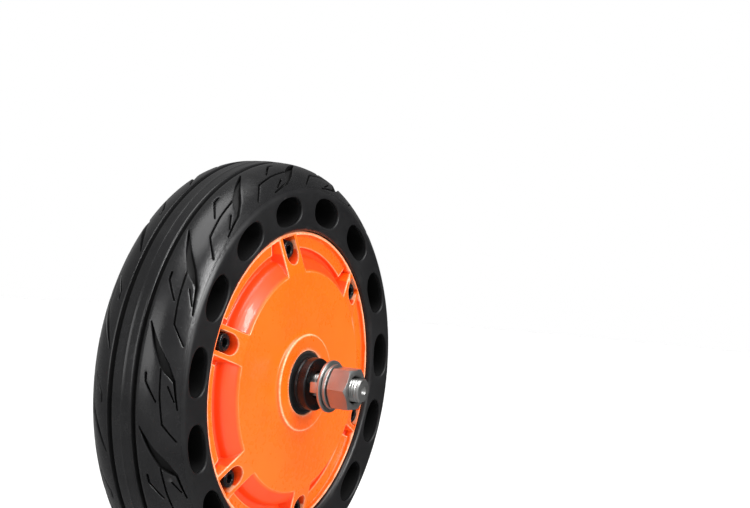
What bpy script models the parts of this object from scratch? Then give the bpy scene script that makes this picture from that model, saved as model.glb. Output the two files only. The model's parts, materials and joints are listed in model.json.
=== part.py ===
"""Hub motor wheel of an electric kick scooter: a direct-drive motor inside an 8 inch honeycomb tyre.

The wheel turns about the Y axis on a fixed axle. +X is the way the scooter travels and +Z is up, so the
side at -Y is the right-hand side. The origin is the centre of the wheel. Sizes below are in
millimetres, and MM turns them into Blender's metres.
"""

from math import asin, cos, degrees, pi, radians, sin

import bmesh
import bpy
from mathutils import Matrix, Vector

MM = 0.001
GAP = 0.3  # clearance left between pieces that touch
SIDES = {"right": -1, "left": 1}

# Tyre
TYRE_RADIUS = 100.0
TYRE_SIDE = 24.0  # half the width over the flat side walls
SIDE_WALL_RADII = (72.5, 86.0)  # inner and outer radius of the flat side wall
CROWN_DROP = 14.0  # how far the crown falls from the middle to CROWN_HALF_WIDTH
CROWN_HALF_WIDTH = 24.8
CROWN_POWER = 3.4
GROOVE_EDGES = (5.2, 7.8)  # the two grooves around the tread, from the middle
GROOVE_DEPTH = 2.8
HOLE_COUNT = 15
HOLE_CIRCLE = 79.6
HOLE_SIZE = (21.6, 13.2)  # along the tyre, and radially
HOLE_ANGLE = 197.0
BEAD_RADIUS = 66.0
BEAD_HALF_WIDTH = 16.7  # the bead that the two covers clamp

# Covers
RIM_RADIUS = 69.2
RIM_FACE = 22.0
RIM_INNER_RADIUS = 67.4
SPIGOT_RADIUS = 65.7
COVER_SEAT = 14.6  # where the cover rests on the motor shell
COVER_FACETS = 36
DOME_EDGE = (51.0, 26.5)
BOSS_RADIUS = 22.2
BOSS_FACE = 29.5
RIB_HALF_WIDTH = 7.0
RIB_DRAFT = 0.16
LEDGE_FACE = 19.6
CHANNEL_FLOOR = 17.6
SCREW_COUNT = 6
SCREW_CIRCLE = 61.8
SCREW_START = 40.0
COUNTERBORE_WIDTH = 9.6
COUNTERBORE_FLOOR = 16.9
COUNTERBORE_REACH = (55.3, 67.7)
POCKET_STEPS = (61.4, 61.1, 58.3, 57.5)  # radii: ledge edge, channel outside, channel inside, inner wall
POCKET_WALL_TOP = 23.2
HOLLOW_RADII = (53.5, 22.5)  # hollow under the dome, from the shell to the bearing housing
HOLLOW_ROOF = (21.5, 22.8)  # its roof at those two radii
SEAL_BORE = 14.8

# Cover screws, M5 socket head
HEAD_RADIUS = 4.25
HEAD_HEIGHT = 5.0
SHANK_RADIUS = 2.4
SHANK_LENGTH = 11.0
SOCKET_ACROSS = 4.0
SOCKET_DEPTH = 2.6

# Rotor
SHELL_RADII = (57.8, 65.7)
SHELL_HALF_WIDTH = 14.3
SHELL_FACETS = 48
TAPPED_DEPTH = 10.0
FLUX_RADII = (55.0, 57.5)
FLUX_HALF_WIDTH = 13.5
MAGNET_RADII = (52.0, 54.7)
MAGNET_HALF_WIDTH = 13.0
POLES = 30

# Stator
TEETH = 27
CORE_HALF_WIDTH = 11.0
CORE_BORE = 30.3
YOKE_RADIUS = 38.0
TOOTH_WIDTH = 5.0
NECK_END = 49.1
STATOR_RADIUS = 51.5
SLOT_OPENING = 2.4
COIL_RADII = (39.0, 48.6)
COIL_HALF_WIDTH = 14.0
CARRIER_RADII = (10.3, 15.0, 26.0, 30.0)  # bore, hub, inside and outside of the rim
CARRIER_HALF_WIDTH = 7.5
SPOKES = 6
SPOKE_WIDTH = 7.0
INSULATOR_THICKNESS = 1.0
BOARD_RADII = (33.0, 51.3)
BOARD_FACES = (15.2, 16.8)
BOARD_ARC = 96.0
HALL_STEP = 360.0 / TEETH * 2

# Bearings, 15 x 35 x 11
BEARING_BORE = 7.8
BEARING_RADIUS = 17.5
BEARING_WIDTH = 11.0
BEARING_INNER_FACE = 15.5
BALL_CIRCLE = 12.5
BALL_RADIUS = 2.6
BALLS = 8
RACE_RADII = (10.4, 14.6)
SHIELD_THICKNESS = 0.5

# Axle and what is on it
AXLE_HALF_LENGTH = 60.0
AXLE_FACETS = 20
THREAD_RADIUS = 6.0
FLATS_ACROSS = 10.0
FLATS_START = 30.5
SEAT_RADIUS = 10.0
SEAT_ENDS = (-7.8, 9.9)
STOP_RADIUS = 12.0  # the flange that the stator carrier is pushed against
STOP_END = -10.8
CLIP_GROOVE = (9.2, 7.7, 9.1)  # radius and the two ends of the circlip's groove
CLIP_RADII = (12.2, 9.5)
CLIP_FACES = (8.0, 8.8)
JOURNAL_RADIUS = 7.5
SHOULDER_RADIUS = 8.5
COLLAR_RADIUS = 12.1
COLLAR_NECK_RADIUS = 9.5
COLLAR_FACES = (26.8, 30.0, 36.0)  # end at the bearing, inside and outside of its flange
DROPOUT_WIDTH = 6.0
TAB_WASHER_THICKNESS = 1.5
TAB_WASHER_RADIUS = 12.0
TAB_REACH = (9.2, 11.0)  # how far from the axis the tab stands, inside and outside
TAB_WIDTH = 5.0
TAB_LENGTH = 4.0
LOCK_WASHER_THICKNESS = 1.8
LOCK_WASHER_RADIUS = 10.3
NUT_ACROSS = 18.0
NUT_HEIGHT = 10.0
CABLE_BORE = 3.5
CABLE_BORE_END = 10.6
CABLE_EXIT = 12.6  # where the cross hole for the motor's leads enters the axle
CABLE_EXIT_RADIUS = 2.4
GROMMET_BORE = 2.5
GROMMET_START = 50.0
KEY_WIDTH = 5.4
KEY_REACH = (6.8, 12.7)
KEY_HALF_LENGTH = 7.0

COLOURS = {
    "tyre_rubber": ((0.028, 0.028, 0.030), 0.55, 0.0),
    "orange_paint": ((1.0, 0.18, 0.012), 0.22, 0.0),
    "cast_aluminium": ((0.60, 0.61, 0.62), 0.45, 0.9),
    "black_steel": ((0.03, 0.03, 0.032), 0.38, 0.8),
    "zinc_steel": ((0.62, 0.62, 0.60), 0.32, 1.0),
    "bearing_steel": ((0.70, 0.70, 0.70), 0.18, 1.0),
    "lamination_steel": ((0.32, 0.33, 0.35), 0.42, 0.9),
    "magnet_nickel": ((0.55, 0.55, 0.54), 0.30, 1.0),
    "copper_wire": ((0.55, 0.20, 0.06), 0.35, 0.8),
    "seal_rubber": ((0.02, 0.02, 0.02), 0.7, 0.0),
    "insulator_plastic": ((0.78, 0.76, 0.70), 0.5, 0.0),
    "circuit_board": ((0.02, 0.16, 0.07), 0.4, 0.0),
    "sensor_plastic": ((0.015, 0.015, 0.016), 0.45, 0.0),
}


def clear_scene():
    for obj in list(bpy.data.objects):
        bpy.data.objects.remove(obj, do_unlink=True)


def make_materials():
    made = {}
    for name, (colour, roughness, metallic) in COLOURS.items():
        material = bpy.data.materials.new(name)
        material.use_nodes = True
        shader = material.node_tree.nodes["Principled BSDF"]
        shader.inputs["Base Color"].default_value = (*colour, 1.0)
        shader.inputs["Roughness"].default_value = roughness
        shader.inputs["Metallic"].default_value = metallic
        made[name] = material
    return made


def at(radius, angle, y):
    """The point at this radius and angle (degrees, from +X towards +Z) about the axle."""
    return Vector((radius * cos(radians(angle)), y, radius * sin(radians(angle)))) * MM


def finish(name, bm, material, parent=None):
    """Turns a bmesh into a named object with smooth shading and its material."""
    bmesh.ops.recalc_face_normals(bm, faces=bm.faces)
    mesh = bpy.data.meshes.new(name)
    bm.to_mesh(mesh)
    bm.free()
    mesh.shade_smooth()
    mesh.set_sharp_from_angle(angle=radians(35))
    obj = bpy.data.objects.new(name, mesh)
    bpy.context.scene.collection.objects.link(obj)
    if material:
        mesh.materials.append(material)
    obj.parent = parent
    return obj


def cutter(name, bm):
    obj = finish(name, bm, None)
    obj.hide_render = True
    obj.display_type = "WIRE"
    return obj


def boolean(obj, other, operation="DIFFERENCE"):
    modifier = obj.modifiers.new(f"{operation.lower()} {other.name}", "BOOLEAN")
    modifier.operation = operation
    modifier.object = other
    modifier.solver = "EXACT"


def turned(outline, segments, first=0.0):
    """A solid of revolution about the axle, from an outline of (radius, y) points.

    first is the angle of one of its facet edges, kept away from the holes that are cut later.
    """
    bm = bmesh.new()
    rim = [bm.verts.new(at(radius, first, y)) for radius, y in outline]
    closed = min(radius for radius, _ in outline) > 0
    pairs = list(zip(rim, rim[1:] + rim[:1])) if closed else list(zip(rim, rim[1:]))
    edges = [bm.edges.new(pair) for pair in pairs]
    bmesh.ops.spin(
        bm, geom=rim + edges, cent=(0, 0, 0), axis=(0, -1, 0), angle=2 * pi, steps=segments, use_merge=True
    )
    bmesh.ops.remove_doubles(bm, verts=bm.verts, dist=1e-6)
    return bm


def ring(outer, inner, start, end, segments, first=0.0):
    return turned([(outer, end), (outer, start), (inner, start), (inner, end)], segments, first)


def extruded(faces, start, end):
    """A flat mesh of faces in the XZ plane, each a list of (x, z) points, extruded from start to end."""
    bm = bmesh.new()
    known = {}
    for face in faces:
        corners = []
        for x, z in face:
            key = (round(x, 5), round(z, 5))
            if key not in known:
                known[key] = bm.verts.new(Vector((x, start, z)) * MM)
            corners.append(known[key])
        bm.faces.new(corners)
    grown = bmesh.ops.extrude_face_region(bm, geom=bm.faces[:])
    moved = [item for item in grown["geom"] if isinstance(item, bmesh.types.BMVert)]
    bmesh.ops.translate(bm, verts=moved, vec=Vector((0, end - start, 0)) * MM)
    return bm


def polar(radius, angle):
    return (radius * cos(radians(angle)), radius * sin(radians(angle)))


def ring_faces(outer, inner, angles):
    """Quads between an outer and an inner radius, each a number or a function of the angle."""
    far = outer if callable(outer) else lambda angle: outer
    near = inner if callable(inner) else lambda angle: inner
    faces = []
    for a, b in zip(angles, angles[1:]):
        faces.append([polar(near(a), a), polar(far(a), a), polar(far(b), b), polar(near(b), b)])
    return faces


def cylinder(bm, radius, start, end, sides, matrix=Matrix.Identity(4)):
    """Adds a cylinder along Y from start to end, then moves it by the matrix."""
    spin = Matrix.Rotation(radians(90), 4, "X")
    place = Matrix.Translation(Vector((0, (start + end) / 2, 0)) * MM)
    bmesh.ops.create_cone(
        bm,
        cap_ends=True,
        segments=sides,
        radius1=radius * MM,
        radius2=radius * MM,
        depth=abs(end - start) * MM,
        matrix=matrix @ place @ spin,
    )


def box(bm, low, high, matrix=Matrix.Identity(4)):
    low, high = Vector(low) * MM, Vector(high) * MM
    size = Matrix.Diagonal((*(high - low), 1))
    bmesh.ops.create_cube(bm, size=1, matrix=matrix @ Matrix.Translation((low + high) / 2) @ size)


def turn(angle):
    """Rotation about the axle that takes +X to this angle."""
    return Matrix.Rotation(radians(-angle), 4, "Y")


def screw_angles():
    return [SCREW_START + 360 / SCREW_COUNT * i for i in range(SCREW_COUNT)]


# --- Tyre -------------------------------------------------------------------------------------------


def crown(y):
    return TYRE_RADIUS - CROWN_DROP * (abs(y) / CROWN_HALF_WIDTH) ** CROWN_POWER


def tyre_outline():
    """Half of the tyre's section, from the middle of the tread to the middle of the bead."""
    inner, outer = GROOVE_EDGES
    half = [(crown(0), 0), (crown(inner), inner)]
    half += [(crown(inner) - GROOVE_DEPTH, inner + 0.5), (crown(outer) - GROOVE_DEPTH, outer - 0.5)]
    half += [(crown(y), y) for y in (outer, 14.0, 19.0)]
    half += [(SIDE_WALL_RADII[1] + 2.6, TYRE_SIDE - 1.2), (SIDE_WALL_RADII[1], TYRE_SIDE)]
    half += [(SIDE_WALL_RADII[0], TYRE_SIDE), (RIM_RADIUS + GAP, TYRE_SIDE - 2.2)]
    half += [(RIM_RADIUS + GAP, BEAD_HALF_WIDTH)]
    half += [(BEAD_RADIUS, BEAD_HALF_WIDTH)]
    return half


def hole_outline(angle, points=10):
    """One honeycomb hole: a rounded oval along the tyre, as (radius, angle) pairs."""
    length, height = HOLE_SIZE
    squareness = 0.8
    outline = []
    for i in range(points):
        t = 2 * pi * (i + 0.5) / points
        along = abs(cos(t)) ** squareness * (1 if cos(t) > 0 else -1) * length / 2
        out = abs(sin(t)) ** squareness * (1 if sin(t) > 0 else -1) * height / 2
        outline.append((HOLE_CIRCLE + out, angle + degrees(along / HOLE_CIRCLE)))
    return outline


def make_tyre(materials, parent):
    half = tyre_outline()
    outline = half + [(radius, -y) for radius, y in reversed(half) if y > 0]
    tyre = finish("tyre", turned(outline, HOLE_COUNT * 4), materials["tyre_rubber"], parent)
    faces = []
    for i in range(HOLE_COUNT):
        angle = HOLE_ANGLE + 360 / HOLE_COUNT * i
        faces.append([polar(radius, a) for radius, a in hole_outline(angle)])
    boolean(tyre, cutter("cut tyre holes", extruded(faces, -TYRE_SIDE - 2, TYRE_SIDE + 2)))


# --- Covers -----------------------------------------------------------------------------------------


def rib_top(radius):
    """Height of the cone that carries the screw ribs, from the dome's edge down to the rim."""
    return DOME_EDGE[1] + (RIM_FACE - DOME_EDGE[1]) * (radius - DOME_EDGE[0]) / (RIM_INNER_RADIUS - DOME_EDGE[0])


def cover_outline():
    bore = BEARING_RADIUS + GAP
    outside = [(SEAL_BORE, BOSS_FACE), (BOSS_RADIUS - 0.9, BOSS_FACE), (BOSS_RADIUS, BOSS_FACE - 0.5)]
    outside += [(BOSS_RADIUS + 1.2, BOSS_FACE - 1.6), (38.0, 27.4), DOME_EDGE]
    outside += [(RIM_INNER_RADIUS, RIM_FACE), (RIM_RADIUS - 0.4, RIM_FACE - 0.2), (RIM_RADIUS, RIM_FACE - 1.0)]
    outside += [(RIM_RADIUS, BEAD_HALF_WIDTH + GAP), (SPIGOT_RADIUS, BEAD_HALF_WIDTH + GAP)]
    shell, housing = HOLLOW_RADII
    inside = [(SPIGOT_RADIUS, COVER_SEAT), (shell, COVER_SEAT), (shell, HOLLOW_ROOF[0])]
    inside += [(housing, HOLLOW_ROOF[1]), (housing, BEARING_INNER_FACE - GAP)]
    inside += [(bore, BEARING_INNER_FACE - GAP)]
    inside += [(bore, BEARING_INNER_FACE + BEARING_WIDTH + GAP)]
    inside += [(SEAL_BORE, BEARING_INNER_FACE + BEARING_WIDTH + GAP)]
    return outside + inside


def add_pocket(bm, side, start_rib, steps=4):
    """The recess between two screw ribs: a ledge under the rim, a channel, a wall and a slope to the dome."""
    top = BOSS_FACE + 2
    ledge, outside, inside, wall = POCKET_STEPS
    outline = [(RIM_INNER_RADIUS, top), (RIM_INNER_RADIUS, LEDGE_FACE), (ledge, LEDGE_FACE)]
    outline += [(outside, CHANNEL_FLOOR), (inside, CHANNEL_FLOOR), (wall, CHANNEL_FLOOR + 0.9)]
    outline += [(wall, POCKET_WALL_TOP)]
    outline += [(DOME_EDGE[0] + 0.6, DOME_EDGE[1] - 0.35), (DOME_EDGE[0] + 0.6, top)]
    pitch = 360 / SCREW_COUNT
    rows = []
    for i in range(steps + 1):
        row = []
        for radius, y in outline:
            edge = RIB_HALF_WIDTH + RIB_DRAFT * max(0.0, rib_top(radius) - y)
            clear = degrees(asin(edge / radius))
            angle = start_rib + clear + (pitch - 2 * clear) * i / steps
            row.append(bm.verts.new(at(radius, angle, side * y)))
        rows.append(row)
    for a, b in zip(rows, rows[1:]):
        for j in range(len(outline)):
            k = (j + 1) % len(outline)
            bm.faces.new((a[j], a[k], b[k], b[j]))
    bm.faces.new(rows[0])
    bm.faces.new(reversed(rows[-1]))


def counterbore_faces(angle, arc_points=6):
    """The U-shaped slot around one screw head: round at its inner end, square at the rim."""
    half = COUNTERBORE_WIDTH / 2
    inner, outer = COUNTERBORE_REACH
    outline = [(outer, -half), (outer, half)]
    for i in range(arc_points + 1):
        t = pi / 2 + pi * i / arc_points
        outline.append((inner + half + half * cos(t), half * sin(t)))
    c, s = cos(radians(angle)), sin(radians(angle))
    return [(u * c - v * s, u * s + v * c) for u, v in outline]


def make_cover(side_name, materials, parent):
    side = SIDES[side_name]
    outline = [(radius, side * y) for radius, y in cover_outline()]
    cover = finish(f"cover_{side_name}", turned(outline, COVER_FACETS, SCREW_START + 180 / COVER_FACETS),
                   materials["orange_paint"], parent)

    pockets = bmesh.new()
    for angle in screw_angles():
        add_pocket(pockets, side, angle)
    boolean(cover, cutter(f"cut pockets {side_name}", pockets))

    slots = [counterbore_faces(angle) for angle in screw_angles()]
    depth = sorted((side * COUNTERBORE_FLOOR, side * (BOSS_FACE + 2)))
    boolean(cover, cutter(f"cut counterbores {side_name}", extruded(slots, *depth)))

    holes = bmesh.new()
    for angle in screw_angles():
        place = turn(angle) @ Matrix.Translation((SCREW_CIRCLE * MM, 0, 0))
        cylinder(holes, SHANK_RADIUS + GAP, side * 12, side * 19, 10, place)
    boolean(cover, cutter(f"cut screw holes {side_name}", holes))


def make_cover_screws(side_name, materials, parent):
    """Six M5 socket head screws, which share one mesh and stand about the axle."""
    side = SIDES[side_name]
    under = COUNTERBORE_FLOOR + GAP
    top = under + HEAD_HEIGHT
    outline = [(0, top), (HEAD_RADIUS - 0.5, top), (HEAD_RADIUS, top - 0.5), (HEAD_RADIUS, under)]
    outline += [(SHANK_RADIUS, under), (SHANK_RADIUS, under - SHANK_LENGTH), (0, under - SHANK_LENGTH)]
    socket = bmesh.new()
    cylinder(socket, SOCKET_ACROSS / 2 / cos(pi / 6), side * (top - SOCKET_DEPTH), side * (top + 1), 6)
    socket_cutter = cutter(f"cut socket {side_name}", socket)
    mesh = None
    for number, angle in enumerate(screw_angles(), 1):
        name = f"cover_screw_{side_name}_{number}"
        if mesh is None:
            bm = turned([(radius, side * y) for radius, y in outline], 10)
            screw = finish(name, bm, materials["black_steel"], parent)
            mesh = screw.data
        else:
            screw = bpy.data.objects.new(name, mesh)
            bpy.context.scene.collection.objects.link(screw)
            screw.parent = parent
        screw.matrix_local = turn(angle) @ Matrix.Translation((SCREW_CIRCLE * MM, 0, 0))
        local_cutter = socket_cutter if number == 1 else socket_cutter.copy()
        if number > 1:
            local_cutter.name = f"cut socket {side_name} {number}"
            bpy.context.scene.collection.objects.link(local_cutter)
        local_cutter.matrix_world = screw.matrix_local
        boolean(screw, local_cutter)


# --- Rotor ------------------------------------------------------------------------------------------


def make_rotor(materials, parent):
    inner, outer = SHELL_RADII
    first = SCREW_START + 180 / SHELL_FACETS
    shell_mesh = ring(outer, inner, -SHELL_HALF_WIDTH, SHELL_HALF_WIDTH, SHELL_FACETS, first)
    shell = finish("motor_shell", shell_mesh, materials["cast_aluminium"], parent)
    tapped = bmesh.new()
    for angle in screw_angles():
        for side in SIDES.values():
            place = turn(angle) @ Matrix.Translation((SCREW_CIRCLE * MM, 0, 0))
            bottom = side * (SHELL_HALF_WIDTH - TAPPED_DEPTH)
            cylinder(tapped, SHANK_RADIUS + GAP, bottom, side * (SHELL_HALF_WIDTH + 2), 8, place)
    boolean(shell, cutter("cut tapped holes", tapped))

    inner, outer = FLUX_RADII
    flux_mesh = ring(outer, inner, -FLUX_HALF_WIDTH, FLUX_HALF_WIDTH, 48)
    finish("flux_ring", flux_mesh, materials["lamination_steel"], parent)

    inner, outer = MAGNET_RADII
    pitch = 360 / POLES
    joint = 0.12 * pitch  # half the groove between two poles
    root = outer - 0.9
    faces = []
    for i in range(POLES):
        start = i * pitch
        a, b, c = start - joint, start + joint, start + pitch - joint
        faces.append([polar(root, a), polar(outer, a), polar(outer, b), polar(root, b)])
        faces += ring_faces(root, inner, [b, c])
        faces += ring_faces(outer, root, [b, c])
    magnet_mesh = extruded(faces, -MAGNET_HALF_WIDTH, MAGNET_HALF_WIDTH)
    finish("magnet_ring", magnet_mesh, materials["magnet_nickel"], parent)


# --- Stator -----------------------------------------------------------------------------------------


def at_width(radius, half_width):
    """Angle at which a line this far from a radial centre line crosses the radius."""
    return degrees(asin(half_width / radius))


def make_core(materials, parent):
    pitch = 360 / TEETH
    half = TOOTH_WIDTH / 2
    shoe = pitch / 2 - at_width(STATOR_RADIUS, SLOT_OPENING / 2)
    root, neck = at_width(YOKE_RADIUS, half), at_width(NECK_END, half)
    faces = []
    for i in range(TEETH):
        a = i * pitch
        faces.append([polar(CORE_BORE, a - root), polar(YOKE_RADIUS, a - root),
                      polar(YOKE_RADIUS, a + root), polar(CORE_BORE, a + root)])
        faces.append([polar(CORE_BORE, a + root), polar(YOKE_RADIUS, a + root),
                      polar(YOKE_RADIUS, a + pitch - root), polar(CORE_BORE, a + pitch - root)])
        faces.append([polar(YOKE_RADIUS, a - root), polar(NECK_END, a - neck), polar(STATOR_RADIUS, a - shoe),
                      polar(STATOR_RADIUS, a + shoe), polar(NECK_END, a + neck), polar(YOKE_RADIUS, a + root)])
    core_mesh = extruded(faces, -CORE_HALF_WIDTH, CORE_HALF_WIDTH)
    finish("stator_core", core_mesh, materials["lamination_steel"], parent)


def make_windings(materials, parent):
    """27 coils around the teeth, joined by their crossover wires along one edge."""
    inner, outer = COIL_RADII
    windings_mesh = ring(outer, inner, -COIL_HALF_WIDTH, COIL_HALF_WIDTH, TEETH)
    windings = finish("windings", windings_mesh, materials["copper_wire"], parent)
    pitch = 360 / TEETH
    room = bmesh.new()
    half, reach = TOOTH_WIDTH / 2 + GAP, CORE_HALF_WIDTH + GAP
    for i in range(TEETH):
        box(room, (inner - 2, -reach, -half), (outer + 2, reach, half), turn(i * pitch))
    boolean(windings, cutter("cut tooth room", room))
    splits = bmesh.new()
    for i in range(TEETH):
        low, high = (inner - 2, -COIL_HALF_WIDTH - 2, -0.4), (outer + 2, COIL_HALF_WIDTH - 1.5, 0.4)
        box(splits, low, high, turn((i + 0.5) * pitch))
    boolean(windings, cutter("cut coil splits", splits))


def make_carrier(materials, parent):
    bore, hub, rim_inside, rim_outside = CARRIER_RADII
    pitch = 360 / SPOKES
    foot, tip = at_width(hub, SPOKE_WIDTH / 2), at_width(rim_inside, SPOKE_WIDTH / 2)
    faces = []
    for i in range(SPOKES):
        a = i * pitch
        middle = a + pitch / 2
        hub_angles = [a - foot, a + foot, middle, a + pitch - foot]
        rim_angles = [a - tip, a + tip, middle - 10, middle + 10, a + pitch - tip]
        faces += ring_faces(hub, bore, hub_angles)
        faces += ring_faces(rim_outside, rim_inside, rim_angles)
        faces.append([polar(hub, a - foot), polar(rim_inside, a - tip), polar(rim_inside, a + tip),
                      polar(hub, a + foot)])
    carrier_mesh = extruded(faces, -CARRIER_HALF_WIDTH, CARRIER_HALF_WIDTH)
    carrier = finish("stator_carrier", carrier_mesh, materials["cast_aluminium"], parent)
    keyway = bmesh.new()
    half = KEY_WIDTH / 2 + GAP
    box(keyway, (-half, -CARRIER_HALF_WIDTH - 1, 0), (half, CARRIER_HALF_WIDTH + 1, KEY_REACH[1] + GAP))
    boolean(carrier, cutter("cut carrier keyway", keyway))


def make_insulators(materials, parent):
    start = CORE_HALF_WIDTH + GAP
    for side_name, side in SIDES.items():
        faces = sorted((side * start, side * (start + INSULATOR_THICKNESS)))
        insulator_mesh = ring(YOKE_RADIUS - GAP, CORE_BORE, *faces, TEETH)
        finish(f"insulator_{side_name}", insulator_mesh, materials["insulator_plastic"], parent)


def make_hall_board(materials, parent):
    middle = 90
    steps = 8
    angles = [middle - BOARD_ARC / 2 + BOARD_ARC * i / steps for i in range(steps + 1)]
    board_mesh = extruded(ring_faces(BOARD_RADII[1], BOARD_RADII[0], angles), *BOARD_FACES)
    finish("hall_board", board_mesh, materials["circuit_board"], parent)
    for number in (1, 2, 3):
        bm = bmesh.new()
        low = (BOARD_RADII[1] - 1.9, CORE_HALF_WIDTH + GAP, -2.0)
        high = (BOARD_RADII[1] - 0.3, BOARD_FACES[0] - GAP, 2.0)
        box(bm, low, high, turn(middle + (number - 2) * HALL_STEP))
        finish(f"hall_sensor_{number}", bm, materials["sensor_plastic"], parent)


# --- Bearings and seals -----------------------------------------------------------------------------


def make_bearing(side_name, materials, wheel, fixed, cage):
    side = SIDES[side_name]
    start = BEARING_INNER_FACE
    middle, end = start + BEARING_WIDTH / 2, start + BEARING_WIDTH
    inner_race, outer_race = RACE_RADII
    groove = BALL_RADIUS + GAP

    outer = [(BEARING_RADIUS, end), (BEARING_RADIUS, start), (outer_race, start)]
    outer += [(outer_race, middle - 2.6), (BALL_CIRCLE + groove, middle - 1.2)]
    outer += [(BALL_CIRCLE + groove, middle + 1.2), (outer_race, middle + 2.6)]
    outer += [(outer_race, end)]
    bm = turned([(radius, side * y) for radius, y in outer], 24)
    finish(f"bearing_outer_ring_{side_name}", bm, materials["bearing_steel"], wheel)

    inner = [(BEARING_BORE, start), (BEARING_BORE, end), (inner_race, end), (inner_race, middle + 2.6)]
    inner += [(BALL_CIRCLE - groove, middle + 1.2), (BALL_CIRCLE - groove, middle - 1.2)]
    inner += [(inner_race, middle - 2.6), (inner_race, start)]
    bm = turned([(radius, side * y) for radius, y in inner], 20)
    finish(f"bearing_inner_ring_{side_name}", bm, materials["bearing_steel"], fixed)

    cage_mesh = ring(BALL_CIRCLE + 0.6, BALL_CIRCLE - 0.6, -1.0, 1.0, 16)
    name = f"ball_cage_{side_name}"
    balls_and_cage = finish(name, cage_mesh, materials["bearing_steel"], cage)
    balls_and_cage.location = (0, side * middle * MM, 0)
    balls = bmesh.new()
    for i in range(BALLS):
        place = turn(i * 360 / BALLS) @ Matrix.Translation((BALL_CIRCLE * MM, 0, 0))
        bmesh.ops.create_icosphere(balls, subdivisions=1, radius=BALL_RADIUS * MM, matrix=place)
    ball_guide = cutter(f"balls {side_name}", balls)
    ball_guide.location = balls_and_cage.location
    boolean(balls_and_cage, ball_guide, "UNION")

    for place_name, face in (("inner", start + 0.2), ("outer", end - 0.2 - SHIELD_THICKNESS)):
        faces = sorted((side * face, side * (face + SHIELD_THICKNESS)))
        shield_mesh = ring(outer_race - GAP, inner_race + GAP, *faces, 20)
        name = f"bearing_shield_{side_name}_{place_name}"
        finish(name, shield_mesh, materials["zinc_steel"], wheel)

    seat = BEARING_INNER_FACE + BEARING_WIDTH + 2 * GAP
    faces = sorted((side * seat, side * (BOSS_FACE - 0.2)))
    seal_mesh = ring(SEAL_BORE - GAP, COLLAR_NECK_RADIUS + GAP, *faces, 20)
    finish(f"oil_seal_{side_name}", seal_mesh, materials["seal_rubber"], wheel)


# --- Axle and its hardware --------------------------------------------------------------------------


def make_axle(materials, parent):
    end = AXLE_HALF_LENGTH
    journal_end = COLLAR_FACES[0] - GAP
    bearing_stop = BEARING_INNER_FACE - GAP
    outline = [(0, -end), (THREAD_RADIUS, -end)]
    outline += [(THREAD_RADIUS, -journal_end), (JOURNAL_RADIUS, -journal_end)]
    outline += [(JOURNAL_RADIUS, -bearing_stop), (SHOULDER_RADIUS, -bearing_stop), (SHOULDER_RADIUS, STOP_END)]
    outline += [(STOP_RADIUS, STOP_END), (STOP_RADIUS, SEAT_ENDS[0]), (SEAT_RADIUS, SEAT_ENDS[0])]
    groove, groove_start, groove_end = CLIP_GROOVE
    outline += [(SEAT_RADIUS, groove_start), (groove, groove_start), (groove, groove_end)]
    outline += [(SEAT_RADIUS, groove_end), (SEAT_RADIUS, SEAT_ENDS[1]), (SHOULDER_RADIUS, SEAT_ENDS[1])]
    outline += [(SHOULDER_RADIUS, bearing_stop), (JOURNAL_RADIUS, bearing_stop)]
    outline += [(JOURNAL_RADIUS, journal_end), (THREAD_RADIUS, journal_end)]
    outline += [(THREAD_RADIUS, end), (0, end)]
    axle = finish("axle", turned(outline, AXLE_FACETS, 180 / AXLE_FACETS), materials["zinc_steel"], parent)

    flats = bmesh.new()
    half = FLATS_ACROSS / 2
    for side in SIDES.values():
        for way in (-1, 1):
            y = sorted((side * FLATS_START, side * (end + 1)))
            z = sorted((way * half, way * (half + 3)))
            box(flats, (-8, y[0], z[0]), (8, y[1], z[1]))
    boolean(axle, cutter("cut axle flats", flats))

    keyway = bmesh.new()
    half = KEY_WIDTH / 2 + GAP
    reach = KEY_HALF_LENGTH + GAP
    box(keyway, (-half, -reach, KEY_REACH[0] - GAP), (half, reach, STOP_RADIUS))
    boolean(axle, cutter("cut axle keyway", keyway))

    cable_way = bmesh.new()
    cylinder(cable_way, CABLE_BORE, CABLE_BORE_END, end + 1, 12, turn(12))
    boolean(axle, cutter("cut cable bore", cable_way))
    cable_exit = bmesh.new()
    down = Matrix.Translation((0, CABLE_EXIT * MM, 0)) @ Matrix.Rotation(radians(-90), 4, "X")
    cylinder(cable_exit, CABLE_EXIT_RADIUS, 0, STOP_RADIUS, 10, down)
    boolean(axle, cutter("cut cable exit", cable_exit))


def make_axle_fittings(materials, parent):
    key_mesh = bmesh.new()
    half = KEY_WIDTH / 2
    box(key_mesh, (-half, -KEY_HALF_LENGTH, KEY_REACH[0]), (half, KEY_HALF_LENGTH, KEY_REACH[1]))
    finish("stator_key", key_mesh, materials["zinc_steel"], parent)

    clip_angles = [-70 + 320 / 16 * i for i in range(17)]
    clip_mesh = extruded(ring_faces(*CLIP_RADII, clip_angles), *CLIP_FACES)
    finish("stator_circlip", clip_mesh, materials["black_steel"], parent)

    grommet_mesh = ring(CABLE_BORE - GAP, GROMMET_BORE, GROMMET_START, AXLE_HALF_LENGTH - GAP, 12)
    finish("cable_grommet", grommet_mesh, materials["seal_rubber"], parent)


def flatted_bore(angle):
    """Radius of a washer's bore with two flats that fit the axle's."""
    radius, half = THREAD_RADIUS + GAP, FLATS_ACROSS / 2 + GAP
    rise = abs(sin(radians(angle)))
    return radius if rise * radius <= half else half / rise


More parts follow.
